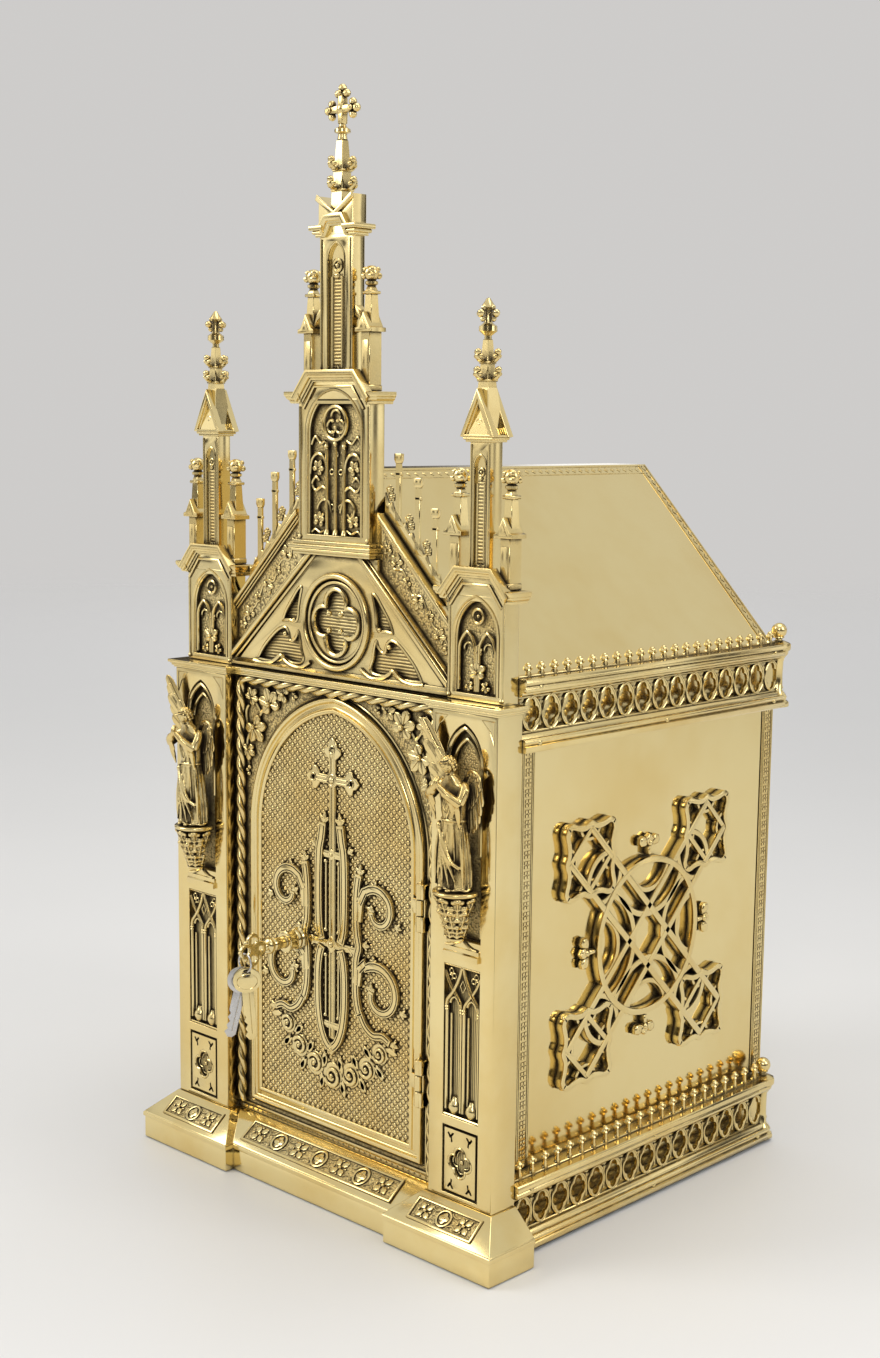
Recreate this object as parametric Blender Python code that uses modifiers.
"""Altar tabernacle: a hollow brass house on a plinth, with a carved Gothic front.

The front faces -Y. Every size below is in millimetres: x from the middle plane, z up
from the floor, and y back from the front plane of the two pilasters. A finished piece
is turned to metres when it is placed.
"""
import math

import bmesh
import bpy
from mathutils import Matrix, Vector

MM = 0.001

# The whole
FRONT = -167.6            # where the pilasters' front plane lies, from the footprint's middle
GAP = 0.3                 # air between two pieces that touch
SHEET = 1.6               # thickness of the body's brass sheet
CASTING_BACK = 25.4       # back plane of the cast front: plinth, pilasters, ledge, towers
BACK = 358.7              # the body's back
WALL_X = 159.0            # half width of the body

# Plinth
PLINTH_X = 198.5
PLINTH_FRONT = -23.4
PLINTH_MIDDLE_FRONT = -15.5
PLINTH_MIDDLE_X = 89.9
PLINTH_FACE = 22.3
PLINTH_TOP = 40.8

# Front: pilasters, door wall and ledge
PILASTER_IN = 115.0
PILASTER_OUT = 177.7
PILASTER_X = (PILASTER_IN + PILASTER_OUT) / 2
PANEL_HALF = 17.5         # half width of a pilaster's sunk panel
SURROUND_Y = 14.0         # the door wall's front
SURROUND_BACK = 20.0
FRONT_TOP = 399.7
LEDGE_LOW = 400.0
LEDGE_TOP = 406.5
TOWER_FOOT = LEDGE_TOP + GAP

# Door: an upright leaf under a bluntly pointed arch
DOOR_HALF = 97.0
DOOR_FOOT = 52.0
DOOR_SPRING = 290.5
DOOR_POINT = 5.0          # how far the arch's centres lie past the middle
DOOR_FACE = 12.0          # the leaf's sunk field
DOOR_RIM = 9.6            # front of the beads round it
DOOR_BACK = 15.0
DOOR_GAP = 0.5
HINGE_X = 98.2
HINGE_Y = 6.2
HINGE_R = 3.0
HINGE_HEIGHTS = (117.0, 250.0)
LOCK_X = -37.0
LOCK_Z = 199.0
BOW_Y = -38.5             # middle of the key's bow

# Gable and roof
RIDGE_Z = 565.0
RIDGE_X = 19.0
EAVE_Z = 417.5
RAKE_TOP = 578.0          # outer rake: z = RAKE_TOP - x
INNER_RAKE_TOP = 529.0    # inner rake: z = INNER_RAKE_TOP - x * INNER_SLOPE
INNER_SLOPE = 0.93
GABLE_Y = 16.0
GABLE_BACK = 22.0
ROSE_Z = 450.0
ROSE_R = 37.0

# Towers
MIDDLE_TOWER = {"half": 38.5, "front": 10.0, "foot": 510.0, "eave": 612.0,
                "hood": 637.0, "hood_half": 21.0, "overhang": 12.0}
SIDE_TOWER = {"half": 26.8, "front": 10.0, "foot": TOWER_FOOT, "eave": 477.0,
              "hood": 501.0, "hood_half": 12.5, "overhang": 11.0}

# Galleries along the two sides
GALLERY_X = 181.0
GALLERY_FRONT = 25.8
GALLERY_END = 350.0
GALLERY_UNITS = 14
UPPER_GALLERY = 372.0
LOWER_GALLERY = 2.0

BRASS = (0.80, 0.63, 0.28)
DARK_BRASS = (0.52, 0.38, 0.15)
STEEL = (0.72, 0.70, 0.68)


# ---------------------------------------------------------------- shapes

def new_mesh(name, build):
    """A mesh from a function that fills a bmesh."""
    mesh = bpy.data.meshes.new(name)
    shape = bmesh.new()
    build(shape)
    shape.to_mesh(mesh)
    shape.free()
    return mesh


def weld(mesh, distance=0.001):
    """Join a mesh's loose caps and drop what the join leaves flat."""
    shape = bmesh.new()
    shape.from_mesh(mesh)
    bmesh.ops.remove_doubles(shape, verts=shape.verts, dist=distance)
    bmesh.ops.dissolve_degenerate(shape, edges=shape.edges, dist=distance)
    bmesh.ops.recalc_face_normals(shape, faces=shape.faces)
    shape.to_mesh(mesh)
    shape.free()
    return mesh


def evaluated_mesh(helper):
    """The mesh that an object's modifiers or curve settings give; the object goes."""
    bpy.context.scene.collection.objects.link(helper)
    graph = bpy.context.evaluated_depsgraph_get()
    graph.update()
    mesh = bpy.data.meshes.new_from_object(helper.evaluated_get(graph))
    bpy.data.objects.remove(helper)
    return mesh


def box(x0, x1, y0, y1, z0, z1):
    def build(shape):
        bmesh.ops.create_cube(shape, size=1)
        middle = Vector(((x0 + x1) / 2, (y0 + y1) / 2, (z0 + z1) / 2))
        size = (x1 - x0, y1 - y0, z1 - z0)
        bmesh.ops.scale(shape, vec=size, verts=shape.verts)
        bmesh.ops.translate(shape, vec=middle, verts=shape.verts)
    return new_mesh("box", build)


PLANES = {
    "XZ": Matrix(((1, 0, 0, 0), (0, 0, -1, 0), (0, 1, 0, 0), (0, 0, 0, 1))),
    "YZ": Matrix(((0, 0, 1, 0), (1, 0, 0, 0), (0, 1, 0, 0), (0, 0, 0, 1))),
    "XY": Matrix.Identity(4),
}
NORMALS = {"XZ": Vector((0, 1, 0)), "YZ": Vector((1, 0, 0)), "XY": Vector((0, 0, 1))}


def prism(outline, low, high, plane="XZ", holes=()):
    """A flat outline with holes, made thick from low to high across its plane."""
    curve = bpy.data.curves.new("outline", "CURVE")
    curve.dimensions = "2D"
    curve.fill_mode = "BOTH"
    curve.extrude = (high - low) / 2
    for loop in (outline, *holes):
        spline = curve.splines.new("POLY")
        spline.points.add(len(loop) - 1)
        for point, (u, v) in zip(spline.points, loop):
            point.co = (u, v, 0, 1)
        spline.use_cyclic_u = True
    mesh = evaluated_mesh(bpy.data.objects.new("outline", curve))
    mesh.transform(PLANES[plane])
    mesh.transform(Matrix.Translation(NORMALS[plane] * (low + high) / 2))
    return weld(mesh)


def turned(profile, steps, axis="Z"):
    """A profile of (radius, height) pairs, top to bottom, spun with a Screw modifier."""
    mesh = bpy.data.meshes.new("profile")
    points = [(radius, 0, height) for radius, height in profile]
    mesh.from_pydata(points, [(i, i + 1) for i in range(len(points) - 1)], [])
    helper = bpy.data.objects.new("profile", mesh)
    screw = helper.modifiers.new("spin", "SCREW")
    screw.steps = steps
    screw.render_steps = steps
    screw.use_merge_vertices = True
    screw.merge_threshold = 0.0001
    mesh = weld(evaluated_mesh(helper))
    if axis == "-Y":
        mesh.transform(Matrix.Rotation(math.radians(90), 4, "X"))
    return mesh


def tube(points, radius, resolution=1, cyclic=False):
    """A round bar along straight runs between points."""
    curve = bpy.data.curves.new("bar", "CURVE")
    curve.dimensions = "3D"
    curve.bevel_depth = radius
    curve.bevel_resolution = resolution
    curve.use_fill_caps = not cyclic
    spline = curve.splines.new("POLY")
    spline.points.add(len(points) - 1)
    for target, point in zip(spline.points, points):
        target.co = (*point, 1)
    spline.use_cyclic_u = cyclic
    return weld(evaluated_mesh(bpy.data.objects.new("bar", curve)))


def loft(rings):
    """A closed skin through rings of equally many points, capped at both ends."""
    def build(shape):
        rows = [[shape.verts.new(point) for point in ring] for ring in rings]
        count = len(rows[0])
        for row, above in zip(rows, rows[1:]):
            for i in range(count):
                j = (i + 1) % count
                shape.faces.new((row[i], row[j], above[j], above[i]))
        shape.faces.new(reversed(rows[0]))
        shape.faces.new(rows[-1])
        bmesh.ops.recalc_face_normals(shape, faces=shape.faces)
    return new_mesh("loft", build)


def moved(mesh, x=0.0, y=0.0, z=0.0):
    mesh.transform(Matrix.Translation((x, y, z)))
    return mesh


def turned_by(mesh, degrees, axis):
    mesh.transform(Matrix.Rotation(math.radians(degrees), 4, axis))
    return mesh


def mirrored(mesh):
    """The same mesh seen in the middle plane."""
    copy = mesh.copy()
    copy.transform(Matrix.Scale(-1, 4, (1, 0, 0)))
    copy.flip_normals()
    return copy


def both_sides(mesh):
    return [mesh, mirrored(mesh)]


def combine(operation, first, others):
    """An exact Boolean of one mesh with several."""
    helper = bpy.data.objects.new("work", first)
    tools = bpy.data.collections.new("tools")
    bpy.context.scene.collection.children.link(tools)
    for other in others:
        tools.objects.link(bpy.data.objects.new("tool", other))
    step = helper.modifiers.new("step", "BOOLEAN")
    step.operation = operation
    step.solver = "EXACT"
    step.operand_type = "COLLECTION"
    step.collection = tools
    mesh = evaluated_mesh(helper)
    for tool in list(tools.objects):
        bpy.data.objects.remove(tool)
    bpy.data.collections.remove(tools)
    return flattened(weld(mesh))


def flattened(mesh):
    """Rejoin the triangles of one plane into one face, so that an edge marks a real bend."""
    shape = bmesh.new()
    shape.from_mesh(mesh)
    bmesh.ops.dissolve_limit(shape, angle_limit=math.radians(0.3), verts=shape.verts,
                             edges=shape.edges, use_dissolve_boundaries=False, delimit=set())
    shape.to_mesh(mesh)
    shape.free()
    return mesh


def union(first, *others):
    return combine("UNION", first, others)


def cut(first, *cutters):
    return combine("DIFFERENCE", first, cutters)


# ---------------------------------------------------------------- outlines

def rect(u0, u1, v0, v1):
    return [(u0, v0), (u1, v0), (u1, v1), (u0, v1)]


def circle(u, v, radius, sides, start=0.0):
    step = 2 * math.pi / sides
    return [(u + radius * math.cos(start + step * i), v + radius * math.sin(start + step * i))
            for i in range(sides)]


def pointed_arch(half, foot, spring, offset, steps, u=0.0):
    """Outline of an upright opening whose head is two arcs that meet in a point."""
    radius = half + offset
    top = math.acos(offset / radius)
    right = [(radius * math.cos(top * i / steps) - offset, spring + radius * math.sin(top * i / steps))
             for i in range(steps + 1)]
    left = [(-x, z) for x, z in reversed(right[:-1])]
    return [(u - half, foot), (u + half, foot)] + [(u + x, z) for x, z in right + left]


def foil(u, v, lobes, reach, radius, arc_steps, start=math.pi / 2):
    """A ring of round lobes, such as a quatrefoil, that meet in cusps."""
    half = math.pi / lobes
    side = reach * math.sin(half)
    cusp = reach * math.cos(half) + math.sqrt(max(0, radius * radius - side * side))
    swing = math.atan2(cusp * math.sin(half), cusp * math.cos(half) - reach)
    points = []
    for lobe in range(lobes):
        angle = start + 2 * half * lobe
        for i in range(arc_steps):
            turn = angle - swing + 2 * swing * i / arc_steps
            points.append((u + reach * math.cos(angle) + radius * math.cos(turn),
                           v + reach * math.sin(angle) + radius * math.sin(turn)))
    return points


def star(u, v, points, outer, inner, start=0.0):
    step = math.pi / points
    radii = (outer, inner)
    return [(u + radii[i % 2] * math.cos(start + step * i),
             v + radii[i % 2] * math.sin(start + step * i)) for i in range(2 * points)]


def strap(path, width, taper=1.0):
    """Outline of a band of a given width along a path; taper narrows its far end."""
    left, right = [], []
    last = len(path) - 1
    for i, (u, v) in enumerate(path):
        before = path[max(i - 1, 0)]
        after = path[min(i + 1, last)]
        du, dv = after[0] - before[0], after[1] - before[1]
        length = math.hypot(du, dv)
        half = width / 2 * (1 + (taper - 1) * i / last)
        left.append((u - dv / length * half, v + du / length * half))
        right.append((u + dv / length * half, v - du / length * half))
    return left + right[::-1]


def arc(u, v, radius, start, end, steps):
    """Points of an arc, in degrees, from start to end."""
    return [(u + radius * math.cos(math.radians(start + (end - start) * i / steps)),
             v + radius * math.sin(math.radians(start + (end - start) * i / steps)))
            for i in range(steps + 1)]


def spiral(u, v, outer, inner, start, end, steps):
    """Points of a scroll that winds in from its outer to its inner radius."""
    points = []
    for i in range(steps + 1):
        share = i / steps
        radius = outer + (inner - outer) * share
        turn = math.radians(start + (end - start) * share)
        points.append((u + radius * math.cos(turn), v + radius * math.sin(turn)))
    return points


# ---------------------------------------------------------------- small carving

def leaf(radius, thick=2.5, lobes=4):
    """A lobed leaf facing -Y, its middle raised, its flat back on y = 0."""
    outline = star(0, 0, lobes, radius, radius * 0.55, math.pi / 2)
    return loft([[(u, 0, v) for u, v in outline],
                 [(u * 0.75, -thick, v * 0.75) for u, v in outline]])


def bud(radius, height, sides=5):
    """A finial: a neck that opens into a leafy bulb, standing on z = 0."""
    profile = [(0, height), (radius, height * 0.6), (radius * 0.42, height * 0.36),
               (radius * 0.6, height * 0.2), (radius * 0.4, 0), (0, 0)]
    return turned(profile, sides)


def crocket(reach, height):
    """A leaf that curls out towards +X from a spire's edge."""
    outline = [(-1, 0), (reach * 0.8, height * 0.15), (reach, height * 0.75),
               (reach * 0.4, height * 0.65), (-1, height)]
    return prism(outline, -reach * 0.3, reach * 0.3)


def spread_by_quarter(mesh, count=4):
    """Copies of a mesh turned about the upright axis by equal steps."""
    copies = [mesh]
    for i in range(1, count):
        copies.append(turned_by(mesh.copy(), 360 / count * i, "Z"))
    return copies


def stepped_slab(x0, x1, y0, y1, z0, z1, step):
    """Two fillets, the upper one standing out past the lower one at front and sides."""
    middle = (z0 + z1) / 2
    rings = []
    for inset, z in ((step, z0), (step, middle - 0.6), (0, middle), (0, z1)):
        rings.append([(x0 + inset, y0 + inset, z), (x1 - inset, y0 + inset, z),
                      (x1 - inset, y1, z), (x0 + inset, y1, z)])
    return loft(rings)


# ---------------------------------------------------------------- placing

COLLECTION = bpy.data.collections.new("altar_tabernacle")
MATERIALS = {}


def material(name, colour, roughness, metallic=1.0):
    if name not in MATERIALS:
        made = bpy.data.materials.new(name)
        made.use_nodes = True
        shader = made.node_tree.nodes["Principled BSDF"]
        shader.inputs["Base Color"].default_value = (*colour, 1)
        shader.inputs["Roughness"].default_value = roughness
        shader.inputs["Metallic"].default_value = metallic
        MATERIALS[name] = made
    return MATERIALS[name]


def polished():
    return material("polished_brass", BRASS, 0.15)


def cast():
    return material("cast_brass", DARK_BRASS, 0.35)


def finish(name, mesh, surface, at=(0, 0, 0), parent=None):
    """Turn a mesh to metres, smooth its round faces and place it as a named object."""
    mesh.transform(Matrix.Scale(MM, 4))
    mesh.materials.clear()
    mesh.materials.append(surface)
    mesh.shade_smooth()
    mesh.set_sharp_from_angle(angle=math.radians(35))
    piece = bpy.data.objects.new(name, mesh)
    COLLECTION.objects.link(piece)
    x, y, z = at
    place = Vector((x, y + FRONT, z)) * MM
    if parent:
        piece.parent = parent
        place -= parent.location
    piece.location = place
    return piece


# ---------------------------------------------------------------- plinth and body

def plinth_ring(side_x, middle_x, side_front, middle_front, z):
    """The plinth's plan at one height: two side blocks that stand out past the middle."""
    return [(-side_x, CASTING_BACK, z), (-side_x, side_front, z), (-middle_x, side_front, z),
            (-middle_x, middle_front, z), (middle_x, middle_front, z), (middle_x, side_front, z),
            (side_x, side_front, z), (side_x, CASTING_BACK, z)]


def plinth_relief(x0, x1, front, top_front, motifs):
    """A framed row of roundels between leaf crosses, lying on a sloped top."""
    rise = PLINTH_TOP - PLINTH_FACE
    run = top_front - front
    length = math.hypot(rise, run)
    low, high = length * 0.16, length * 0.84
    pieces = [prism(rect(x0, x1, v, v + 2.2), -1.0, 1.2, "XY") for v in (low, high - 2.2)]
    pitch = (x1 - x0 - 5) / motifs
    middle = (low + high) / 2
    reach = (high - low) / 2 - 1.8
    for i in range(motifs):
        u = x0 + 2.5 + pitch * (i + 0.5)
        if i % 2:
            pieces.append(prism(circle(u, middle, reach, 6), -1.0, 1.2, "XY"))
        else:
            pieces.append(prism(star(u, middle, 4, reach * 1.1, reach * 0.4, math.pi / 4),
                                -1.0, 1.0, "XY"))
    for piece in pieces:
        turned_by(piece, math.degrees(math.atan2(rise, run)), "X")
        moved(piece, 0, front, PLINTH_FACE)
    return pieces


def make_plinth():
    """An upright face under a bead, then a sloped top with a row of ornament on it."""
    rings = [plinth_ring(PLINTH_X - inset, PLINTH_MIDDLE_X + inset, PLINTH_FRONT + inset,
                         PLINTH_MIDDLE_FRONT + inset, z)
             for z, inset in ((0, 1.2), (17, 1.2), (18.5, 0), (PLINTH_FACE, 0))]
    rings.append(plinth_ring(PILASTER_OUT + 1.3, PILASTER_IN - 4, -1, 10, PLINTH_TOP))
    relief = plinth_relief(-86, 86, PLINTH_MIDDLE_FRONT, 10, 7)
    for piece in plinth_relief(PLINTH_MIDDLE_X + 20, PLINTH_X - 20, PLINTH_FRONT, -1, 3):
        relief += both_sides(piece)
    finish("plinth", union(loft(rings), *relief), polished())


def make_body():
    """The sheet-brass house behind the front: floor, walls, back and roof."""
    floor_top = 3.0
    inside = WALL_X - SHEET
    wall_low = floor_top + GAP
    finish("floor_plate", box(-WALL_X, WALL_X, CASTING_BACK + GAP, BACK, 0, floor_top), polished())
    wall = box(inside, WALL_X, CASTING_BACK + GAP, BACK - SHEET - GAP, wall_low, EAVE_Z)
    for name, mesh in zip(("wall_right", "wall_left"), both_sides(wall)):
        finish(name, mesh, polished())
    outline = [(-WALL_X, wall_low), (WALL_X, wall_low), (WALL_X, EAVE_Z + 1), (RIDGE_X, RIDGE_Z),
               (-RIDGE_X, RIDGE_Z), (-WALL_X, EAVE_Z + 1)]
    finish("back_plate", prism(outline, BACK - SHEET, BACK), polished())
    run, rise = WALL_X - RIDGE_X, RIDGE_Z - EAVE_Z - 1
    length = math.hypot(run, rise)
    drop_x, drop_z = rise / length * SHEET, run / length * SHEET
    slope = [(WALL_X, EAVE_Z + 1), (RIDGE_X + GAP, RIDGE_Z), (RIDGE_X + GAP, RIDGE_Z - drop_z - 1),
             (WALL_X - drop_x - 1, EAVE_Z + 1)]
    roof = prism(slope, GABLE_BACK + GAP, BACK - SHEET - GAP)
    # the towers stand in the roof's front edge, so it is cut back behind them
    tower_room = box(RIDGE_X, WALL_X + 20, 0, CASTING_BACK + GAP, 0, RIDGE_Z + 10)
    roof = cut(roof, tower_room)
    for name, mesh in zip(("roof_right", "roof_left"), both_sides(roof)):
        finish(name, mesh, polished())
    finish("roof_ridge", box(-RIDGE_X, RIDGE_X, CASTING_BACK + GAP, BACK - SHEET - GAP,
                             RIDGE_Z - SHEET, RIDGE_Z), polished())


STRIP_WIDTH = 15.0
STRIP_THICK = 1.0


def make_strips():
    """Stamped border strips on the upright edges of the side walls."""
    low, high = LOWER_GALLERY + 53 + GAP, UPPER_GALLERY - GAP
    x = WALL_X + GAP
    for place, y in (("front", 33.0), ("back", BACK - STRIP_WIDTH)):
        strip = box(x, x + STRIP_THICK, y, y + STRIP_WIDTH, low, high)
        for side, mesh in zip(("right", "left"), both_sides(strip)):
            finish("border_strip_%s_%s" % (place, side), mesh, cast())


def gallery(low, rail, crest):
    """A pierced band between two moulded rails, with a cresting of buds on top."""
    plate_x = (170.0, 173.0)
    start, end = GALLERY_FRONT, GALLERY_END
    pitch = (end - start - 12) / GALLERY_UNITS
    band_low, band_high = low + rail, low + rail + 27
    middle = (band_low + band_high) / 2
    top = band_high + rail
    outline = [(start + 0.5, low + 2), (end - 4, low + 2), (end - 4, top + 1)]
    buds = 19
    step = (end - start - 14) / buds
    for i in reversed(range(buds)):
        y = start + 4 + step * (i + 0.5)
        outline += [(y + step / 2, top + 1), (y, top + crest)]
    outline.append((start + 0.5, top + 1))
    holes = []
    for i in range(GALLERY_UNITS):
        y = start + 4 + pitch * (i + 0.5)
        holes.append(circle(y, middle, 10.5, 4))
    plate = prism(outline, *plate_x, "YZ", holes)
    lower = [(WALL_X + GAP, low), (GALLERY_X, low), (GALLERY_X, low + rail * 0.45),
             (GALLERY_X - 5, low + rail), (WALL_X + GAP, low + rail)]
    upper = [(WALL_X + GAP, band_high), (GALLERY_X - 5, band_high),
             (GALLERY_X, band_high + rail * 0.5), (GALLERY_X, top), (WALL_X + GAP, top)]
    return [plate, prism(lower, start, end), prism(upper, start, end)]


def gallery_post(low, top):
    """The turned post at a gallery's back end, with a ball on top."""
    profile = [(0, top + 17), (5.4, top + 14), (6.4, top + 9), (2.6, top + 3.6), (7, top + 1.6),
               (7, top - 1), (0, top - 1)]
    return moved(turned(profile, 8), 171.5, GALLERY_END - 4, 0)


def make_galleries():
    for level, low, rail, crest in (("upper", UPPER_GALLERY, 12.5, 11),
                                    ("lower", LOWER_GALLERY, 13.0, 15)):
        pieces = gallery(low, rail, crest)
        pieces.append(gallery_post(low, low + 27 + 2 * rail))
        joined = union(*pieces)
        for side, mesh in zip(("right", "left"), both_sides(joined)):
            finish("gallery_%s_%s" % (level, side), mesh, cast())


MEDALLION_Y = 191.0
MEDALLION_Z = 207.0


def make_medallions():
    """An openwork cross of interlaced straps over a ring, on each side wall."""
    low, high = WALL_X + GAP, WALL_X + 7.0
    end, frame = 72.0, 28.0
    rim = frame - 5
    pieces = [prism(circle(0, 0, 63.5, 16), low, high, "YZ", [circle(0, 0, 57.5, 16)])]
    for i in range(4):
        turn = math.radians(90 * i + 45)
        u, v = end * math.sqrt(2) * math.cos(turn), end * math.sqrt(2) * math.sin(turn)
        pieces.append(prism(rect(u - frame, u + frame, v - frame, v + frame), low, high, "YZ",
                            [rect(u - rim, u + rim, v - rim, v + rim)]))
        turn -= math.pi / 4
        u, v = math.cos(turn), math.sin(turn)
        pieces.append(prism(circle(75.5 * u, 75.5 * v, 14, 4, turn), low, high, "YZ"))
    # each arm is two straps that run between the middles of the end frames' sides
    outer = end + frame - 3
    for su, sv in ((1, 1), (1, -1), (-1, 1), (-1, -1)):
        line = [(end * su, outer * sv), (-outer * su, -end * sv)]
        pieces.append(prism(strap(line, 5.5), low, high, "YZ"))
    joined = moved(union(*pieces), 0, MEDALLION_Y, MEDALLION_Z)
    for side, mesh in zip(("right", "left"), both_sides(joined)):
        finish("side_medallion_%s" % side, mesh, cast())


# ---------------------------------------------------------------- front

def make_pilasters():
    """A post with a quatrefoil panel, a twin-lancet panel and a niche, one above the other."""
    half = (PILASTER_OUT - PILASTER_IN) / 2
    post = box(-half, half, 0, CASTING_BACK, PLINTH_TOP + GAP, FRONT_TOP)
    groove = prism(rect(-PANEL_HALF, PANEL_HALF, 45, 96.5), -1, 2.5)
    plate = box(-PANEL_HALF + 2.2, PANEL_HALF - 2.2, 0.3, 4, 47.2, 94.3)
    eye = prism(foil(0, 70.5, 4, 6.2, 5.4, 3), -1, 3)
    cutters = [eye]
    for su in (-1, 1):
        for sv in (-1, 1):
            u, v = 9.5 * su, 70.5 + 17.5 * sv
            notch = [(u + 3.5 * su, v + 3 * sv), (u - 4 * su, v + 2 * sv), (u + 3 * su, v - 4 * sv)]
            cutters.append(prism(notch, -1, 2.5))
        cutters.append(prism(pointed_arch(6.2, 106, 186, 6, 3, 8.3 * su), 1, 5.5))
        spandrel = [(15 * su, 213), (4.5 * su, 213), (14.5 * su, 203)]
        cutters.append(prism(spandrel, 1, 4))
    cutters.append(prism(circle(0, 204, 4, 4), 1, 5))
    sunk = prism(rect(-PANEL_HALF, PANEL_HALF, 103.5, 217), -1, 1.5)
    niche = prism(pointed_arch(PANEL_HALF, 237, 366, 11, 4), -1, 6)
    post = cut(union(cut(post, groove), plate), sunk, *cutters, niche)
    band = stepped_slab(-PANEL_HALF + 0.5, PANEL_HALF - 0.5, -2.2, 3, 223, 231, 1.2)
    post = union(post, band)
    for side, x in (("right", PILASTER_X), ("left", -PILASTER_X)):
        finish("pilaster_%s" % side, post.copy(), polished(), at=(x, 0, 0))


ANGEL_LOW = 275.6
ANGEL_HEIGHT = 96.0
ANGEL_Y = -8.0


def angel_ring(share, sides=10):
    """One level of the robe, bust and head of a standing figure that looks down a little."""
    # share of the height, half width, half depth, forward shift, depth of the folds
    levels = [(0.00, 13.5, 9.0, 0, 1.6), (0.06, 14.0, 9.5, 0, 1.8), (0.30, 12.2, 8.8, 0, 1.5),
              (0.52, 11.0, 8.2, 1, 1.0), (0.66, 9.4, 7.6, 2, 0.5), (0.76, 11.2, 7.4, 2, 0.3),
              (0.82, 9.0, 6.2, 3, 0), (0.845, 4.2, 4.0, 5, 0), (0.87, 5.4, 5.6, 6.5, 0),
              (0.91, 7.2, 7.2, 7, 0), (0.96, 6.2, 6.4, 7, 0), (1.00, 2.6, 2.8, 6, 0)]
    for (low, *first), (high, *second) in zip(levels, levels[1:]):
        if share <= high:
            part = (share - low) / (high - low)
            width, depth, lean, fold = (a + (b - a) * part for a, b in zip(first, second))
            break
    ring = []
    for i in range(sides):
        turn = 2 * math.pi * i / sides
        ripple = fold * (0.5 if i % 2 else -0.5) * 2
        ring.append(((width + ripple) * math.cos(turn), (depth + ripple) * math.sin(turn) - lean,
                     share * ANGEL_HEIGHT))
    return ring


def angel_wing(outline, shoulder):
    """A wing for the right side, from its root at the shoulder; its outline is feather tips."""
    return moved(turned_by(prism(outline, -1.3, 1.3), -9, "Z"), 2, 3.5, shoulder)


def make_angels():
    """One figure, used twice: hands joined in front, one wing raised and the other folded."""
    shares = [0, 0.06, 0.30, 0.52, 0.66, 0.76, 0.82, 0.845, 0.87, 0.91, 0.96, 1.0]
    figure = loft([angel_ring(share) for share in shares])
    chest = ANGEL_HEIGHT * 0.72
    sleeve = [(8, -2, chest + 6), (12.5, -6, chest - 4), (7.5, -14, chest - 6), (1.2, -19, chest - 1)]
    cuff = prism([(5, chest - 4), (12.5, chest - 4), (12, chest - 20), (7, chest - 14)], -11, -6)
    raised = [(3, -24), (11, -25), (18, -16), (23, -6), (28, 8), (32, 28), (31, 44), (22, 38),
              (11, 20), (3, 6)]
    folded = [(3, -26), (10, -36), (17, -31), (21, -16), (22, -2), (18, 8), (10, 12), (3, 6)]
    shoulder = ANGEL_HEIGHT * 0.78
    wings = [mirrored(angel_wing(raised, shoulder)), angel_wing(folded, shoulder)]
    figure = union(figure, *both_sides(tube(sleeve, 3.4, 1)), *both_sides(cuff), *wings)
    for side, x in (("right", PILASTER_X), ("left", -PILASTER_X)):
        finish("angel_%s" % side, figure.copy(), cast(), at=(x, ANGEL_Y, ANGEL_LOW))


def make_corbels():
    """A leafy bracket under each angel, cut flat against the niche."""
    profile = [(0, 39), (19, 39), (20.5, 35), (17, 29), (18.5, 24), (9.5, 10), (7.5, 4), (0, 0)]
    bracket = turned(profile, 10)
    curls = [moved(turned_by(crocket(7.5, 13), angle, "Z"),
                   13 * math.cos(math.radians(angle)), 13 * math.sin(math.radians(angle)), 20)
             for angle in (-30, -90, -150)]
    bracket = union(bracket, *curls)
    back = box(-40, 40, 5, 60, -5, 60)
    bracket = cut(bracket, back)
    for side, x in (("right", PILASTER_X), ("left", -PILASTER_X)):
        finish("corbel_%s" % side, bracket.copy(), cast(), at=(x, -5.6, 236))


def door_outline(inset, steps=6):
    """The door's outline, drawn in from its edge."""
    return pointed_arch(DOOR_HALF - inset, DOOR_FOOT + inset, DOOR_SPRING, DOOR_POINT, steps)


def make_surround():
    """The wall round the door, with vine leaves in the two upper corners."""
    half = PILASTER_IN - GAP
    wall = prism(rect(-half, half, PLINTH_TOP + GAP, FRONT_TOP), SURROUND_Y, SURROUND_BACK, "XZ",
                 [door_outline(-DOOR_GAP)])
    corner = []
    for x, z, size in ((77, 380.5, 11), (93, 364, 11), (95, 383.5, 8)):
        corner.append(moved(leaf(size, 4), x, SURROUND_Y + 1, z))
    pieces = []
    for piece in corner:
        pieces += both_sides(piece)
    sill = box(-PILASTER_IN + 1, PILASTER_IN - 1, 11, SURROUND_Y + 2, PLINTH_TOP + GAP, 46.5)
    finish("door_surround", union(wall, sill, *pieces), cast())


ROPE_X = 108.0
ROPE_R = 3.3
ROPE_STEP = 18.0


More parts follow.
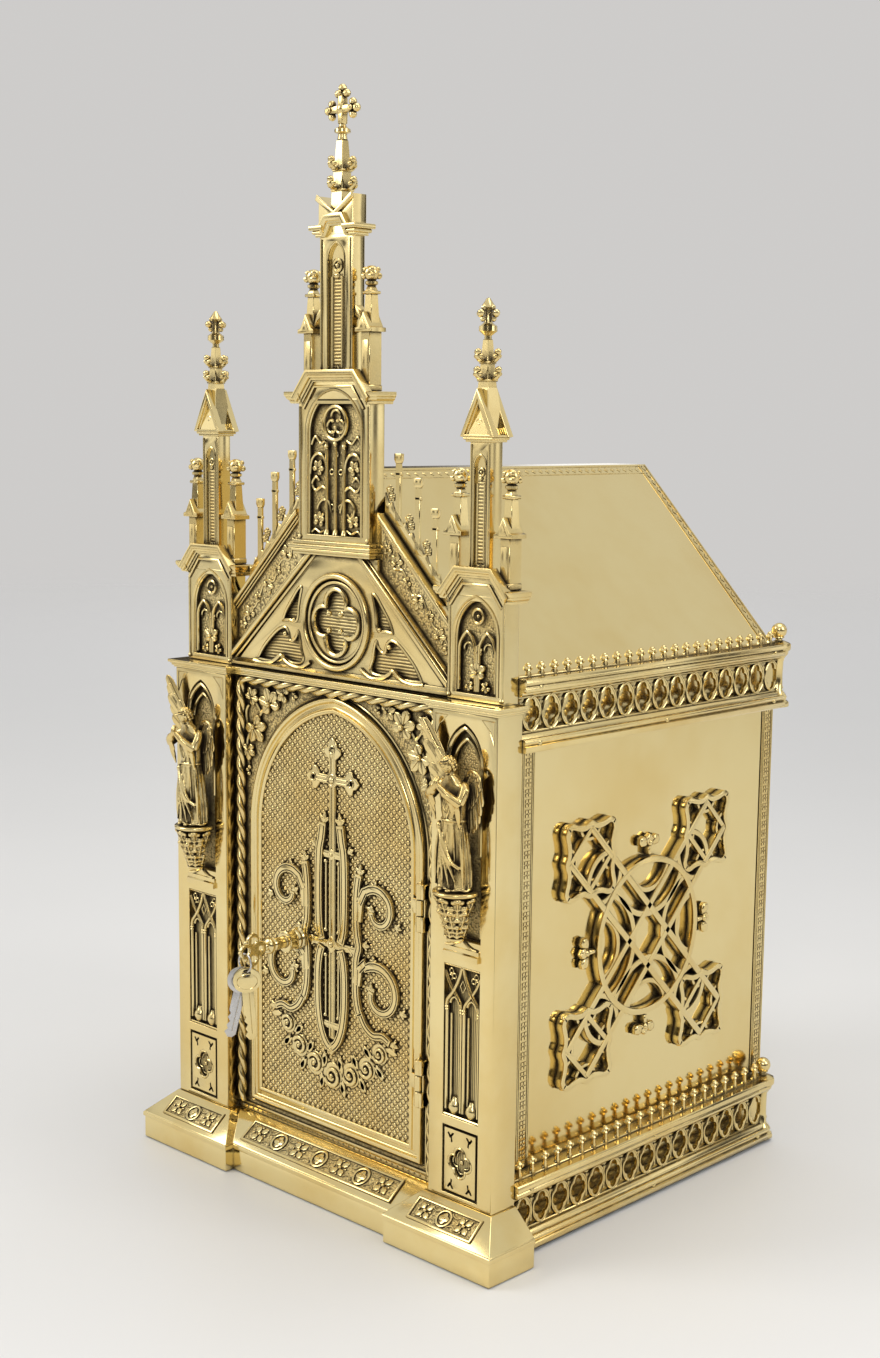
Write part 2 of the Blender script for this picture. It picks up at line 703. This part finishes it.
def make_rope():
    """A twisted bar up one side of the door, across the top and down the other side."""
    top, low, y = 396.3, 48.0, 10.4
    bend = 4.0
    run = [(-ROPE_X, low + ROPE_STEP * i) for i in range(int((top - bend - low) / ROPE_STEP) + 1)]
    across = int(2 * (ROPE_X - bend) / ROPE_STEP)
    run += [(-ROPE_X + bend + 2 * (ROPE_X - bend) * i / across, top) for i in range(across + 1)]
    run += [(ROPE_X, z) for _, z in reversed(run[:int((top - bend - low) / ROPE_STEP) + 1])]
    rings = []
    last = len(run) - 1
    for i, (x, z) in enumerate(run):
        before, after = run[max(i - 1, 0)], run[min(i + 1, last)]
        along = Vector((after[0] - before[0], 0, after[1] - before[1])).normalized()
        side = along.cross(Vector((0, 1, 0)))
        ring = []
        for k in range(4):
            turn = math.pi / 2 * k
            out = side * math.cos(turn) + Vector((0, 1, 0)) * math.sin(turn)
            ring.append(Vector((x, y, z)) + out * ROPE_R)
        rings.append(ring)

    def build(shape):
        rows = [[shape.verts.new(point) for point in ring] for ring in rings]
        for row, above in zip(rows, rows[1:]):
            for k in range(4):
                n = (k + 1) % 4
                shape.faces.new((row[k], row[n], above[n]))
                shape.faces.new((row[k], above[n], above[k]))
        shape.faces.new(reversed(rows[0]))
        shape.faces.new(rows[-1])
        bmesh.ops.recalc_face_normals(shape, faces=shape.faces)
    finish("rope_moulding", new_mesh("rope", build), cast())


def make_ledge():
    """The ledge over door and pilasters: a fillet under a wider fillet, stepped forward twice."""
    def outline(out):
        step_x = PILASTER_IN - 2 - out
        return [(-PILASTER_OUT - out, -out), (-step_x, -out), (-step_x, 9 - out), (step_x, 9 - out),
                (step_x, -out), (PILASTER_OUT + out, -out), (PILASTER_OUT + out, CASTING_BACK),
                (-PILASTER_OUT - out, CASTING_BACK)]
    lower = prism(outline(2.2), LEDGE_LOW, LEDGE_LOW + 3.4, "XY")
    upper = prism(outline(4.8), LEDGE_LOW + 3.2, LEDGE_TOP, "XY")
    finish("ledge_moulding", union(lower, upper), polished())


# ---------------------------------------------------------------- gable

def rake_line(x, drop=0.0):
    return RAKE_TOP - drop - x


def inner_line(x, drop=0.0):
    return INNER_RAKE_TOP - drop - INNER_SLOPE * x


def sloped_bar(line, x0, x1, thick, front, back):
    """A straight moulding whose upper edge follows a rake line, between two upright cuts."""
    outline = [(x0, line(x0)), (x0, line(x0, thick)), (x1, line(x1, thick)), (x1, line(x1))]
    return prism(outline, front, back)


def make_gable():
    low = TOWER_FOOT
    side = PILASTER_X - SIDE_TOWER["half"] - GAP
    cap = 44.8
    under = 499.6
    body = prism([(-side, low), (side, low), (side, rake_line(side)), (cap, rake_line(cap)),
                  (cap, under), (-cap, under), (-cap, rake_line(cap)), (-side, rake_line(side))],
                 GABLE_Y + 2, GABLE_BACK)
    face_x = (INNER_RAKE_TOP - 8 - low) / INNER_SLOPE
    shoulder = (INNER_RAKE_TOP - 8 - under) / INNER_SLOPE
    face_side = min(face_x, side)
    triangle = [(-face_side, low), (face_side, low), (shoulder, under), (-shoulder, under)]
    fish = [(89, 415), (78, 428), (66, 438), (57, 439), (50, 432), (40, 428), (37, 421), (44, 415)]
    horn = [(61, 446), (55, 458), (44, 467), (43, 456), (47, 447)]
    holes = [circle(0, ROSE_Z, ROSE_R - 3, 16)]
    for shape in (fish, horn):
        holes += [shape, [(-x, z) for x, z in reversed(shape)]]
    face = prism(triangle, 12.5, GABLE_Y + 2.5, "XZ", holes)
    rose = prism(circle(0, ROSE_Z, ROSE_R, 16), 9.5, 13.5, "XZ", [circle(0, ROSE_Z, ROSE_R - 5, 16)])
    tracery = prism(circle(0, ROSE_Z, ROSE_R - 1.5, 16), 12.8, GABLE_Y + 2.5, "XZ",
                    [foil(0, ROSE_Z, 4, 15.5, 11.5, 5)])
    foot = box(-side, side, 9.5, 14, low, low + 6)
    parts = [face, rose, tracery, foot]
    inner = sloped_bar(inner_line, shoulder - 2, side, 5, 8.5, GABLE_Y + 3)
    outer = sloped_bar(rake_line, cap, side, 4, 12, GABLE_BACK)
    fillet = sloped_bar(lambda x, drop=0: rake_line(x, drop + 6), cap, side, 3, 14, GABLE_BACK)
    band_leaves = [moved(leaf(8.5, 5), x, GABLE_Y + 3, z) for x, z in ((62, 496), (84, 471))]
    for piece in [inner, outer, fillet] + band_leaves:
        parts += both_sides(piece)
    tower_foot = box(-cap, cap, 0, GABLE_BACK + 5, under, RAKE_TOP)
    finish("gable", cut(union(body, *parts), tower_foot), cast())


CREST_POSTS = ((58.2, 577.0), (78.3, 560.0), (95.8, 539.0))


def make_gable_crests():
    """The coping on each outer rake: scallops between three little posts, each with a leaf."""
    base = 45.0
    side = PILASTER_X - SIDE_TOWER["half"] - GAP
    eave = SIDE_TOWER["eave"] - GAP
    end = side - SIDE_TOWER["overhang"]
    drop = -GAP - 0.2
    outline = [(base, rake_line(base, drop)), (side, rake_line(side, drop)), (side, eave),
               (end, eave), (end, rake_line(end, -20))]
    for x, top in reversed(CREST_POSTS):
        foot = rake_line(x, -22)
        outline += [(x + 8, foot - 5.5), (x + 2.6, foot + 4), (x + 2.4, top - 6), (x + 4, top - 4),
                    (x + 4, top), (x - 4, top), (x - 4, top - 4), (x - 2.4, top - 6),
                    (x - 2.6, foot + 10)]
    outline.append((base, rake_line(base, -20)))
    coping = prism(outline, 19.5, 22.2)
    curls = [moved(leaf(5.5, 4), x - 8.5, 20, rake_line(x - 8.5, -24)) for x, _ in CREST_POSTS]
    crest = union(coping, *curls)
    for name, mesh in zip(("gable_crest_right", "gable_crest_left"), both_sides(crest)):
        finish(name, mesh, cast())


# ---------------------------------------------------------------- towers

def hood_outline(size, out, top):
    """A level eave that rises to a flat hood over the panel; a band to be extruded in y."""
    rise = size["hood"] - size["eave"]
    half = size["hood_half"] + out
    run = rise * 0.62
    edge = size["half"] + size["overhang"] - (5 - out)
    base = size["eave"] + 2
    return [(-edge, base + 3 - out / 2), (edge, base + 3 - out / 2), (edge, top - rise + 9),
            (half + run, top - rise + 9), (half, top), (-half, top), (-half - run, top - rise + 9),
            (-edge, top - rise + 9)]


def tower_stage(size, panel_half, arch_spring, arch_offset, back):
    """A tower's lower stage with a sunk arched panel, and the eave and hood over it."""
    half, front = size["half"], size["front"]
    eave, hood = size["eave"], size["hood"]
    rise = 9.0
    body = box(-half, half, front, back, size["foot"], eave + 2)
    hood_half = size["hood_half"] + 6
    gable = prism([(-hood_half - 9, eave), (hood_half + 9, eave), (hood_half, hood - 5),
                   (-hood_half, hood - 5)], front, front + 1.8)
    stage = union(body, gable)
    arch = prism(pointed_arch(panel_half, size["foot"] + 5, arch_spring, arch_offset, 5),
                 front - 1, front + 4.5)
    stage = cut(stage, arch)
    edge = half + size["overhang"]
    level = stepped_slab(-edge, edge, front - 4.5, back, eave, eave + rise, 3.5)
    opening = prism([(-hood_half - 1, eave - 1), (hood_half + 1, eave - 1), (hood_half - 6, hood - 10),
                     (-hood_half + 6, hood - 10)], front - 10, front + 4.5)
    level = cut(level, opening)
    top = size["hood_half"]
    band = [(-top - 17, eave + rise), (-top, hood), (top, hood), (top + 17, eave + rise),
            (top + 11, eave + 0.5), (top - 3, hood - 8), (-top + 3, hood - 8), (-top - 11, eave + 0.5)]
    lower = [(-top - 12.5, eave + 3), (-top + 1, hood - 6), (top - 1, hood - 6), (top + 12.5, eave + 3),
             (top + 8, eave - 4), (top - 5, hood - 13), (-top + 5, hood - 13), (-top - 8, eave - 4)]
    return [stage, level, prism(band, front - 4.5, front + 1.8),
            prism(lower, front - 2, front + 1.8)]


def slot_shaft(half, front, back, low, high, slot_half, deep):
    """A slender upper stage with one tall pointed slot in its front."""
    shaft = box(-half, half, front, back, low, high)
    slot = prism(pointed_arch(slot_half, low + 9, high - 24, slot_half * 0.5, 3), front - 1, front + deep)
    return cut(shaft, slot)


def pinnacle(low, cap, top, half, front, back):
    """A small post with a gabled cap, a tapering upper block and a bud."""
    post = box(-half, half, front, back, low, cap - 3)
    middle = (front + back) / 2
    hat = prism([(-half - 4, cap - 3.3), (half + 4, cap - 3.3), (half + 4, cap), (0, cap + 11),
                 (-half - 4, cap)], front - 2.5, back + 0.4)
    neck = loft([[(-w, middle - w, z), (w, middle - w, z), (w, middle + w, z), (-w, middle + w, z)]
                 for w, z in ((4.6, cap + 2), (4.2, top - 21), (5.2, top - 18), (2.5, top - 15))])
    flower = moved(bud(7.5, 17), 0, middle, top - 17)
    return [post, hat, neck, flower]


def spire(low, top, half, tip, middle, crocket_levels, reach):
    """A four-sided spire with leaves on its edges."""
    def ring(w, z):
        return [(-w, middle - w, z), (w, middle - w, z), (w, middle + w, z), (-w, middle + w, z)]
    body = loft([ring(half, low), ring(tip, top)])
    pieces = [body]
    for level in crocket_levels:
        share = (level - low) / (top - low)
        width = half + (tip - half) * share
        for copy in spread_by_quarter(moved(crocket(reach, 9), width * 0.7, 0, 0)):
            pieces.append(moved(copy, 0, middle, level))
    return pieces


def fleury_cross(low, high, arm, middle):
    """A cross whose arms end in leaves, on a ringed stem."""
    centre = high - arm * 0.8
    stem = moved(turned([(0, centre - arm * 0.4), (2.6, low + 9), (6, low + 7), (6, low + 4.5),
                         (3.6, low), (0, low)], 6), 0, middle, 0)
    upright = prism(rect(-2.6, 2.6, centre - arm * 0.8, high - 4), middle - 2.4, middle + 2.4)
    beam = prism(rect(-arm + 4, arm - 4, centre - 2.6, centre + 2.6), middle - 2.4, middle + 2.4)
    pieces = [stem, upright, beam]
    for u, v in ((0, high - 4.6), (arm - 4.6, centre), (-arm + 4.6, centre), (0, centre - arm * 0.62)):
        pieces.append(prism(star(u, v, 4, 5.2, 3.0, 0), middle - 3.2, middle + 3.2))
    return pieces


def make_middle_tower():
    size = MIDDLE_TOWER
    front, back = size["front"], CASTING_BACK
    foot = stepped_slab(-44.5, 44.5, 4.5, back, 500, 510.2, 2.5)
    pieces = tower_stage(size, 29, 590, 2, back)
    ground = front + 4.5
    tracery = [prism(circle(0, 598, 13, 10), front + 1.5, ground + 0.5, "XZ",
                     [foil(0, 598, 3, 4.6, 4.6, 4)])]
    for x in (-9.5, 0, 9.5):
        tracery.append(box(x - 1.3, x + 1.3, front + 1.5, ground + 0.5, 515.5, 584))
    for x in (-19, 19):
        tracery.append(prism(strap(arc(x, 566, 9.8, 20, 160, 3), 2.8), front + 1.5, ground + 0.5))
    tracery += [moved(leaf(8, 3.5), x, ground + 0.4, 526) for x in (-19, 19)]
    finish("middle_tower_lower", union(foot, *pieces, *tracery), cast())

    low = size["hood"] - 16 + GAP
    front2, back2 = 12.1, 24.5
    middle = (front2 + back2) / 2
    shaft = slot_shaft(17.5, front2, back2, low, 734, 8.5, 6)
    cornice = stepped_slab(-24.5, 24.5, front2 - 5, back2 + 4, 732.5, 741, 3)
    hump = prism([(-17, 735), (17, 735), (10, 748), (-10, 748)], front2 - 4.2, front2 + 2)
    crown = box(-18, 18, front2 - 1, back2 + 1, 740, 762)
    valley = [(-19, 763), (0, 748), (19, 763)]
    crown = cut(crown, prism(valley, front2 - 5, back2 + 5))
    rim = prism([(-20, 759), (-18.5, 763), (0, 750.5), (18.5, 763), (20, 759), (0, 746)],
                front2 - 3, front2 - 0.6)
    finish("middle_tower_upper", union(shaft, cornice, hump, crown, rim), cast())

    tip = union(*spire(748, 801, 6.3, 3.2, middle, (768, 781), 8.5))
    room = prism([(-30, 700), (30, 700), (30, 763 + 9.3), (0, 748.5 + GAP), (-30, 763 + 9.3)],
                 front2 - 20, back2 + 20)
    finish("middle_spire", cut(tip, room), cast())
    finish("altar_cross_finial", union(*fleury_cross(801 + GAP, 840, 17.5, middle)), cast())

    post = union(*pinnacle(size["eave"] + 9 + GAP, 667, 711, 4.6, 12.2, 24.6))
    buttress = prism([(-13.2, 683), (-13.2, 676), (-4, 664), (-4, 668)], 14, 22.5)
    post = union(post, buttress)
    for name, mesh in zip(("middle_pinnacle_right", "middle_pinnacle_left"), both_sides(post)):
        x = 31.2 if "right" in name else -31.2
        finish(name, mesh, cast(), at=(x, 0, 0))


def make_side_towers():
    size = SIDE_TOWER
    front, back = size["front"], CASTING_BACK
    pieces = tower_stage(size, 20, 452, 8, back)
    ground = front + 4.5
    tracery = [prism(circle(0, 466, 5.5, 8), front + 1.5, ground + 0.5, "XZ", [circle(0, 466, 3, 6)])]
    for x in (-9.5, 9.5):
        lancet = pointed_arch(8.2, size["foot"] + 6, 442, 9, 2, x)
        outline = strap(lancet[1:-1] + [lancet[0]], 2.4)
        tracery.append(prism(outline, front + 1.5, ground + 0.5))
    tracery.append(moved(leaf(9, 4.5), 0, ground, 427))
    lower = union(*pieces, *tracery)

    low = size["hood"] - 15 + GAP
    front2, back2 = 12.1, 24.5
    middle = (front2 + back2) / 2
    shaft = slot_shaft(9.6, front2, back2, low, 588, 4.2, 5)
    eave = stepped_slab(-14.5, 14.5, front2 - 4, back2 + 3.5, 586.5, 591.5, 2)
    roof = loft([[(-w, middle - w * 0.85, z), (w, middle - w * 0.85, z), (w, middle + w * 0.85, z),
                  (-w, middle + w * 0.85, z)] for w, z in ((12.5, 591), (5.6, 624))])
    gablet = prism([(-12.5, 591), (12.5, 591), (0, 617)], front2 - 4, front2 + 1)
    hollow = prism([(-6.5, 589), (6.5, 589), (0, 604)], front2 - 5, front2 - 2)
    upper = union(cut(union(shaft, eave, gablet), hollow), roof)

    tip = union(*spire(624 + GAP, 656, 5.4, 2.8, middle, (626, 639), 7.5),
                moved(turned([(0, 684), (4, 679), (10.5, 673), (2.6, 667), (6.5, 663), (6.5, 660),
                              (2.6, 656), (0, 656)], 6), 0, middle, 0))
    post = union(*pinnacle(size["eave"] + 9 + GAP, 525, 569, 4.6, 12.2, 24.6))
    for side, x in (("right", PILASTER_X), ("left", -PILASTER_X)):
        finish("side_tower_lower_%s" % side, lower.copy(), cast(), at=(x, 0, 0))
        finish("side_tower_upper_%s" % side, upper.copy(), cast(), at=(x, 0, 0))
        finish("side_spire_%s" % side, tip.copy(), cast(), at=(x, 0, 0))
        for place, shift in (("outer", 24.0), ("inner", -24.0)):
            spot = x + math.copysign(1, x) * shift
            finish("side_pinnacle_%s_%s" % (place, side), post.copy(), cast(), at=(spot, 0, 0))


# ---------------------------------------------------------------- door

def hinge_axis():
    axis = bpy.data.objects.new("door_axis", None)
    axis.location = Vector((HINGE_X, HINGE_Y + FRONT, 0)) * MM
    COLLECTION.objects.link(axis)
    return axis


def make_door_leaf(axis):
    plate = prism(door_outline(0), DOOR_FACE, DOOR_BACK)
    outer = prism(door_outline(0), DOOR_RIM, DOOR_FACE + 0.5, "XZ", [door_outline(4)])
    cove = prism(door_outline(3.5), DOOR_RIM + 1.2, DOOR_FACE + 0.5, "XZ", [door_outline(13)])
    inner = prism(door_outline(12.6), DOOR_RIM, DOOR_FACE + 0.5, "XZ", [door_outline(16.6)])
    finish("door_leaf", union(plate, outer, cove, inner), polished(), parent=axis)


def swag_outline():
    """A garland of seven curls, drawn as one scalloped outline that sags in the middle."""
    swag_r, middle_z, curl = 62.0, 160.0, 9.5
    lower, upper = [], []
    for i in range(-3, 4):
        for share, out in ((-0.5, 3), (-0.2, curl), (0.2, curl)):
            turn = math.radians(270 + (i + share) * 19)
            lower.append((swag_r + out, turn))
    for i in range(4, -4, -2):
        upper.append((swag_r - curl, math.radians(270 + i * 16)))
    return [(reach * math.cos(turn), middle_z + reach * math.sin(turn)) for reach, turn in lower + upper]


def make_door_ornament(axis):
    """A cross over mirrored strapwork: two lyre-shaped bars, four scrolls and a row of curls."""
    low, high = DOOR_FACE - 3.4, DOOR_FACE - GAP
    shaft = prism(rect(-3.6, 3.6, 98, 356), low, high)
    pieces = [prism(rect(-24, 24, 326.5, 333.5), low, high)]
    for u, v in ((0, 358), (-23, 330), (23, 330)):
        pieces.append(prism(star(u, v, 4, 9.5, 5), low, high))
    lyre = [(8, 284), (14, 268), (21, 238), (19, 216), (0, 199)]
    foot = [(0, 203), (18, 186), (22, 162), (14, 138), (0, 118)]
    ties = [prism(rect(-15, 15, z - 2.5, z + 2.5), low, high) for z in (262, 139)]
    scrolls = [strap([(20, 240), (27, 250)] + spiral(46, 232, 19, 8, 130, -150, 5), 5.5, 0.8),
               strap([(20, 168), (27, 180)] + spiral(51, 163, 22, 9, 140, -150, 5), 6, 0.8),
               strap([(13, 276), (22, 284), (27, 293)], 5, 0.6)]
    for outline in [strap(lyre, 6), strap(foot, 6.5)] + scrolls:
        pieces += both_sides(prism(outline, low, high))
    pieces.append(prism(swag_outline(), low, high))
    finish("door_ornament", union(shaft, *ties, *pieces), cast(), parent=axis)


def barrel(low, high, radius, hole=0.0):
    holes = [circle(0, 0, hole, 6)] if hole else ()
    return prism(circle(0, 0, radius, 7), low, high, "XY", holes)


def make_hinges(axis):
    """Two barrel hinges: the outer knuckles and pin on the surround, the middle one on the door."""
    length, play = 36.0, 0.4
    third = length / 3
    for name, z in zip(("lower", "upper"), HINGE_HEIGHTS):
        low = z - length / 2
        ends = [barrel(low, low + third - play, HINGE_R), barrel(low + 2 * third + play, low + length, HINGE_R)]
        pin = prism(circle(0, 0, 1.2, 6), low - 1.2, low + length + 1.2, "XY")
        flange = cut(box(1.5, 5.0, -2, SURROUND_Y - GAP - HINGE_Y, low, low + length),
                     box(-4, 3.6, -6, 20, low + third - play, low + 2 * third + play))
        fixed = moved(union(pin, *ends, flange), HINGE_X, HINGE_Y, 0)
        finish("hinge_%s_frame" % name, fixed, polished())
        knuckle = barrel(low + third + play / 2, low + 2 * third - play / 2, HINGE_R, 1.7)
        wing = box(-9.5, -1.9, 1.2, DOOR_RIM - GAP - HINGE_Y, low + third + play / 2,
                   low + 2 * third - play / 2)
        moving = moved(union(knuckle, wing), HINGE_X, HINGE_Y, 0)
        finish("hinge_%s_door" % name, moving, polished(), parent=axis)


def make_lock(axis):
    """The lock's collar, the ornate key in it, and two small keys on a ring."""
    collar = turned([(4.6, 18.5), (7, 18.5), (5.9, 12), (6.4, 5), (9.5, 2), (9.5, 0), (4.6, 0),
                     (4.6, 18.5)], 8, "-Y")
    finish("lock_collar", moved(collar, LOCK_X, DOOR_FACE - GAP, LOCK_Z), polished(), parent=axis)

    shank = turned([(0, 27), (5.2, 24), (5.2, 20), (3.8, 17.5), (3.8, -11.2), (0, -11.2)], 8, "-Y")
    reach, lobe = 7.2, 5.8
    eye = circle(BOW_Y - reach, 0, 3.4, 8)
    bow = prism(foil(BOW_Y, 0, 4, reach, lobe, 3), -1.6, 1.6, "YZ", [eye])
    neck = box(-2, 2, BOW_Y + 9, -24, -3, 3)
    key = moved(union(shank, neck, bow), LOCK_X, 0, LOCK_Z)
    finish("lock_key", key, polished(), parent=axis)

    # the ring hangs in the eye of the bow's front lobe, and the small keys hang on the ring
    ring_r = 7.0
    ring_y = BOW_Y - reach - 0.3
    ring_z = LOCK_Z - 1.7 - ring_r
    loop = [(LOCK_X + u, ring_y, ring_z + v) for u, v in circle(0, 0, ring_r, 10)]
    finish("key_ring", tube(loop, 0.8, 0, cyclic=True), material("steel", STEEL, 0.3), parent=axis)

    for name, shade, lean, slide, head, length in (
            ("small_key_brass", polished(), 4, 1.4, 9.0, 29.0),
            ("small_key_steel", material("steel", STEEL, 0.3), -13, -1.4, 9.5, 27.0)):
        outline = circle(0, -head + 4.4, head, 8, math.pi / 8)
        hole = circle(0, 0, 2.6, 6)
        blade = rect(-3.6, 3.6, -2 * head + 3 - length, -head)
        flat = union(prism(outline, -0.9, 0.9, "YZ", [hole]), prism(blade, -0.8, 0.8, "YZ"))
        turned_by(flat, lean, "X")
        moved(flat, LOCK_X + slide, ring_y, ring_z - ring_r - 0.7)
        finish(name, flat, shade, parent=axis)


def main():
    for thing in list(bpy.data.objects):
        bpy.data.objects.remove(thing)
    bpy.context.scene.collection.children.link(COLLECTION)
    make_plinth()
    make_body()
    make_strips()
    make_galleries()
    make_medallions()
    make_pilasters()
    make_corbels()
    make_angels()
    make_surround()
    make_rope()
    make_ledge()
    make_gable()
    make_gable_crests()
    make_middle_tower()
    make_side_towers()
    axis = hinge_axis()
    make_door_leaf(axis)
    make_door_ornament(axis)
    make_hinges(axis)
    make_lock(axis)


main()
